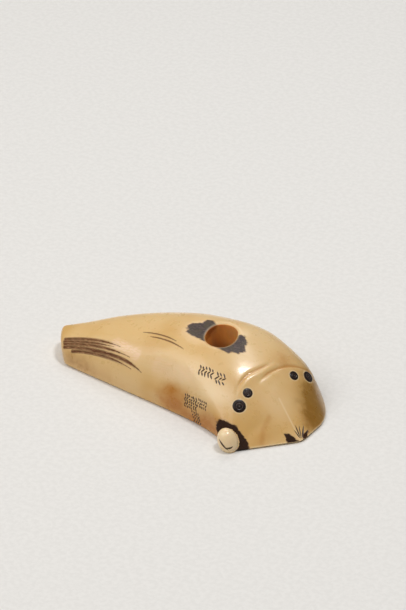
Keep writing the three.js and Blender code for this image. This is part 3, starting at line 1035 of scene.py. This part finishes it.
def ivory():
    s = Shader("stained_ivory")
    # The tusk's growth shows as long faint lines.
    grain = s.noise(1.3, 3, 0.6, stretch=(0.10, 1.0, 0.8), distortion=0.4)
    hatch = s.noise(3.0, 2, 0.5, stretch=(0.45, 1.6, 1.6), shift=(0, 0, 7), distortion=0.3)
    colour = ivory_wear(s, ivory_ground(s, grain))
    colour, patch, dark = ivory_stains(s, colour, hatch)
    # The hole's rim: worn pale, with a painted highlight along it.
    colour = s.mix(s.times(s.map("rim"), COVER.rim), colour, PALE)
    colour, cover, deep = ivory_ink(s, colour)
    colour = s.mix(s.map("wall"), colour, bore_wall(s))

    inked = s.highest(s.highest(patch, dark), s.highest(cover, deep))
    matt = s.highest(inked, s.map("wall"))
    wear = s.noise(0.5, 4, 0.6, shift=(0, 0, 40))
    roughness = s.plus(s.ease(wear, 0.35, 0.7, 0.27, 0.38), s.times(matt, POLISH.matt))
    coat = s.times(s.math("SUBTRACT", 1.0, matt), POLISH.coat)
    shine = s.math("SUBTRACT", POLISH.shine, s.times(s.highest(dark, cover), POLISH.shine_lost))
    glow = s.plus(s.times(s.map("wall"), GLOW.wall), GLOW.ivory)

    fine = s.noise(7.0, 2, 0.6, stretch=(0.25, 1.0, 1.0), shift=(5, 0, 5))
    relief = s.plus(s.times(fine, 0.35), s.times(grain, 0.25))
    relief = s.math("SUBTRACT", relief, s.times(s.times(inked, hatch), 0.9))
    s.feed(s.surface, Base_Color=colour, Roughness=roughness, Normal=s.bump(relief, IVORY_RELIEF, 0.6))
    s.feed(s.surface, Subsurface_Weight=glow, Subsurface_Radius=GLOW.colour)
    s.feed(s.surface, Subsurface_Scale=GLOW.reach * MM, IOR=1.52)
    s.feed(s.surface, Coat_Weight=coat, Coat_Roughness=POLISH.coat_roughness, Specular_IOR_Level=shine)
    return s.material


def horn(name, centre, normal, radius):
    """Dark polished horn, with a faint ring cut into each disc."""
    s = Shader(name)
    off = s.vector("SUBTRACT", s.mm, tuple(centre))
    up = s.vector("DOT_PRODUCT", off, tuple(normal))
    flat = s.vector("SUBTRACT", off, s.vector("SCALE", tuple(normal), Scale=up))
    out = s.math("DIVIDE", s.vector("LENGTH", flat), radius)
    streak = s.noise(1.6, 4, 0.6, stretch=(0.5, 1.4, 1.0))
    colour = s.mix(s.ease(streak, 0.42, 0.68), HORN, HORN_STREAK)
    wobble = s.plus(out, s.times(s.math("SUBTRACT", streak, 0.5), 0.16))
    ring = s.times(s.ease(wobble, 0.36, 0.46), s.ease(wobble, 0.60, 0.50))
    colour = s.mix(s.times(ring, 0.35), colour, HORN_RING)
    colour = s.mix(s.times(s.ease(wobble, 0.15, 0.08), 0.5), colour, HORN_DOT)
    colour = s.mix(s.times(s.ease(out, 0.90, 1.0), 0.35), colour, HORN_RIM)
    s.feed(s.surface, Base_Color=colour, Roughness=s.ease(streak, 0.35, 0.7, 0.30, 0.42))
    s.feed(s.surface, Normal=s.bump(s.noise(6.0, 3), HORN_RELIEF, 0.5))
    s.feed(s.surface, Specular_IOR_Level=0.3, Coat_Weight=0.12, Coat_Roughness=0.1)
    return s.material


def paper():
    s = Shader("backdrop_paper")
    fibre = s.noise(0.9, 4, 0.6)
    s.feed(s.surface, Base_Color=s.mix(s.ease(fibre, 0.35, 0.65), PAPER, PAPER_FIBRE), Roughness=0.85)
    return s.material


# ---------- the pieces

# The horn disc: a bevelled drum with a low dome on it, and a ring and a dimple turned into the dome. How
# far out the dome, ring and dimple reach are shares of the radius.
EYE_BEVEL, EYE_EDGE = 0.05, 0.03
EYE_DOME = Values(height=0.15, share=0.96, power=2.6, reach=0.985, steps=36)
EYE_RING = Values(out=0.48, width=0.07, depth=0.05)
EYE_DIMPLE = Values(width=0.09, depth=0.07)


def eye_piece(node, centre, normal, radius):
    """A domed disc of horn with a shallow ring and a dimple turned into it."""
    low = -EYE_THICKNESS
    profile = [(0.0, low), (radius - EYE_BEVEL, low), (radius, low + EYE_BEVEL), (radius, -EYE_EDGE)]
    for i in range(EYE_DOME.steps + 1):
        out = 1 - i / EYE_DOME.steps
        dome = EYE_DOME.height * math.sqrt(1 - (EYE_DOME.share * out) ** EYE_DOME.power)
        ring = EYE_RING.depth * bell(out - EYE_RING.out, EYE_RING.width)
        dimple = EYE_DIMPLE.depth * bell(out, EYE_DIMPLE.width)
        profile.append((radius * out * EYE_DOME.reach, dome - ring - dimple))
    angles = [2 * math.pi * k / EYE_SIDES for k in range(EYE_SIDES)]
    vertices = [(r * math.cos(a), r * math.sin(a), z) for r, z in profile for a in angles]
    piece = mesh_object("horn_" + node, vertices, tube_faces(len(profile), EYE_SIDES))
    with mesh_editing(piece) as made:
        bmesh.ops.remove_doubles(made, verts=made.verts, dist=SAME_PLACE)
        bmesh.ops.transform(made, matrix=aimed(centre, normal), verts=made.verts)
    return piece


SHARP_ANGLE = math.radians(32)


def settle(piece, shift):
    """Moves a piece from the carving's millimetres to the model's metres."""
    piece.data.transform(Matrix.Scale(MM, 4) @ Matrix.Translation(Vector(shift)))
    piece.data.set_sharp_from_angle(angle=SHARP_ANGLE)
    piece.data.update()


def eye_seats():
    """Each eye's middle on the face, the direction that it looks in and its radius."""
    places = np.array([from_head(forward, right) for _, forward, right, _ in EYES])
    centres = on_back(places[:, 0], places[:, 1])
    return [(centre, normal, eye[3]) for centre, normal, eye in zip(centres, normal_at(centres), EYES)]


def carved_body(eyes, strands, lines):
    """The body with its paw, the cord hole, the eyes' sockets and every cut stroke."""
    body = body_skin()
    combine(body, paw_egg(), "UNION")
    upright = aimed((HOLE.x, HOLE.y, 0), (0, 0, 1))
    hole = cylinder("hole", HOLE.radius, HOLE.bottom, HOLE.top, HOLE.sides, upright)
    combine(body, hole, "DIFFERENCE")
    for centre, normal, radius in eyes:
        bottom = -EYE_THICKNESS - SOCKET_CLEARANCE
        seat = aimed(centre, normal)
        socket = cylinder("socket", radius + SOCKET_CLEARANCE, bottom, SOCKET_TOP, EYE_SIDES, seat)
        combine(body, socket, "DIFFERENCE")
    cut_strokes(body, "tail_strokes", strands[::2], trailing)
    cut_strokes(body, "tail_strokes", strands[1::2], trailing)
    long_toe, short_toe = paw_cuts()
    cut_strokes(body, "line_strokes", lines + [long_toe])
    cut_strokes(body, "nose_strokes", nose_cuts() + [short_toe])
    writing = writing_cuts()
    for rows in (writing[::2], writing[1::2]):
        cut_strokes(body, "writing_strokes", sum(rows, []))
    return body


def build_carving():
    eyes = eye_seats()
    strands, lines = back_strokes(TAIL_STRANDS, STRAND_DEPTH), back_strokes(BODY_LINES, LINE_DEPTH)
    body = carved_body(eyes, strands, lines)
    points = np.empty(len(body.data.vertices) * 3)
    body.data.vertices.foreach_get("co", points)
    points = points.reshape(-1, 3)
    add_maps(body, surface_maps(points, eyes, strands, lines))
    low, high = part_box("body")
    middle = np.array((low + high) / 2) / MM
    own = (points.min(0) + points.max(0)) / 2
    shift = (middle[0] - own[0], middle[1] - own[1], 0.0)
    body.data.materials.clear()
    body.data.materials.append(ivory())
    body.data.polygons.foreach_set("material_index", np.zeros(len(body.data.polygons), np.int32))
    settle(body, shift)
    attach(body, "root")
    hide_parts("body")
    for (node, _, _, _), (centre, normal, radius) in zip(EYES, eyes):
        eye = eye_piece(node, centre, normal, radius)
        eye.data.materials.append(horn("horn_" + node, centre + shift, normal, radius))
        settle(eye, shift)
        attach(eye, "root")
        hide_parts(node)
    return shift


# ---------- the studio

AZIMUTH, ELEVATION = math.radians(27), math.radians(35)
CAMERA_DISTANCE = 0.7
LENS = 187.8
LOOK_AT = (-28.0, 7.0, 6.0)  # in the carving's millimetres
AIM = (0.35, 14.2)  # how far right of it and above it the camera points, in millimetres

# The floor and lights are in metres. The floor is just under the carving, so that they share no plane.
FLOOR_HALF, FLOOR_DROP = 3, 0.00002
WORLD_COLOUR, WORLD_STRENGTH = (1.0, 0.98, 0.95, 1), 0.18
WARM, WHITE = (1.0, 0.97, 0.93), (1, 1, 1)
TOWARDS_KEY = (-0.46, -0.42, 0.78)
# Each softbox: name, shape, direction from the carving, distance, size, watts and colour.
SOFTBOXES = [
    ("key", "RECTANGLE", TOWARDS_KEY, 0.8, (0.5, 0.5), 1.85, WARM),
    ("fill", "RECTANGLE", TOWARDS_KEY, 0.9, (1.3, 1.3), 2.4, WARM),
    ("front", "RECTANGLE", (0.06, -0.34, 0.94), 0.8, (0.30, 0.25), 0.45, WARM),
    ("top", "ELLIPSE", (0.25, 0.15, 0.957), 0.7, (0.05, 0.14), 1.7, WHITE),
    ("back", "RECTANGLE", (-0.25, 0.60, 0.76), 0.8, (0.5, 0.3), 1.2, WHITE),
]


def camera(shift):
    right = Vector((math.cos(AZIMUTH), math.sin(AZIMUTH), 0))
    level = Vector((math.sin(AZIMUTH), -math.cos(AZIMUTH), 0)) * math.cos(ELEVATION)
    back = level + Vector((0, 0, math.sin(ELEVATION)))
    up = back.cross(right)
    middle = (Vector(LOOK_AT) + Vector(shift)) * MM
    data = bpy.data.cameras.new("camera")
    data.lens = LENS
    data.sensor_width = 36.0
    data.clip_start = 0.01
    eye = new_object("camera", data)
    eye.location = middle + back * CAMERA_DISTANCE
    target = middle + (right * AIM[0] + up * AIM[1]) * MM
    eye.rotation_euler = (target - eye.location).to_track_quat("-Z", "Y").to_euler()
    bpy.context.scene.camera = eye


def softbox(name, shape, direction, distance, size, watts, colour):
    data = bpy.data.lights.new(name, "AREA")
    data.shape = shape
    data.size, data.size_y = size
    data.energy = watts
    data.color = colour
    light = new_object(name, data)
    light.location = Vector(direction).normalized() * distance
    light.rotation_euler = Vector(direction).to_track_quat("Z", "Y").to_euler()


def studio():
    corners = [(x * FLOOR_HALF, y * FLOOR_HALF, 0) for x, y in ((-1, -1), (1, -1), (1, 1), (-1, 1))]
    floor = mesh_object("floor", corners, [(0, 1, 2, 3)])
    floor.location.z = -FLOOR_DROP
    floor.data.materials.append(paper())
    world = bpy.data.worlds.new("studio")
    world.use_nodes = True
    background = next(n for n in world.node_tree.nodes if n.type == "BACKGROUND")
    background.inputs["Color"].default_value = WORLD_COLOUR
    background.inputs["Strength"].default_value = WORLD_STRENGTH
    bpy.context.scene.world = world
    for box in SOFTBOXES:
        softbox(*box)
    bpy.context.scene.view_settings.view_transform = "Standard"


shift = build_carving()
camera(shift)
studio()

bpy.context.view_layer.update()
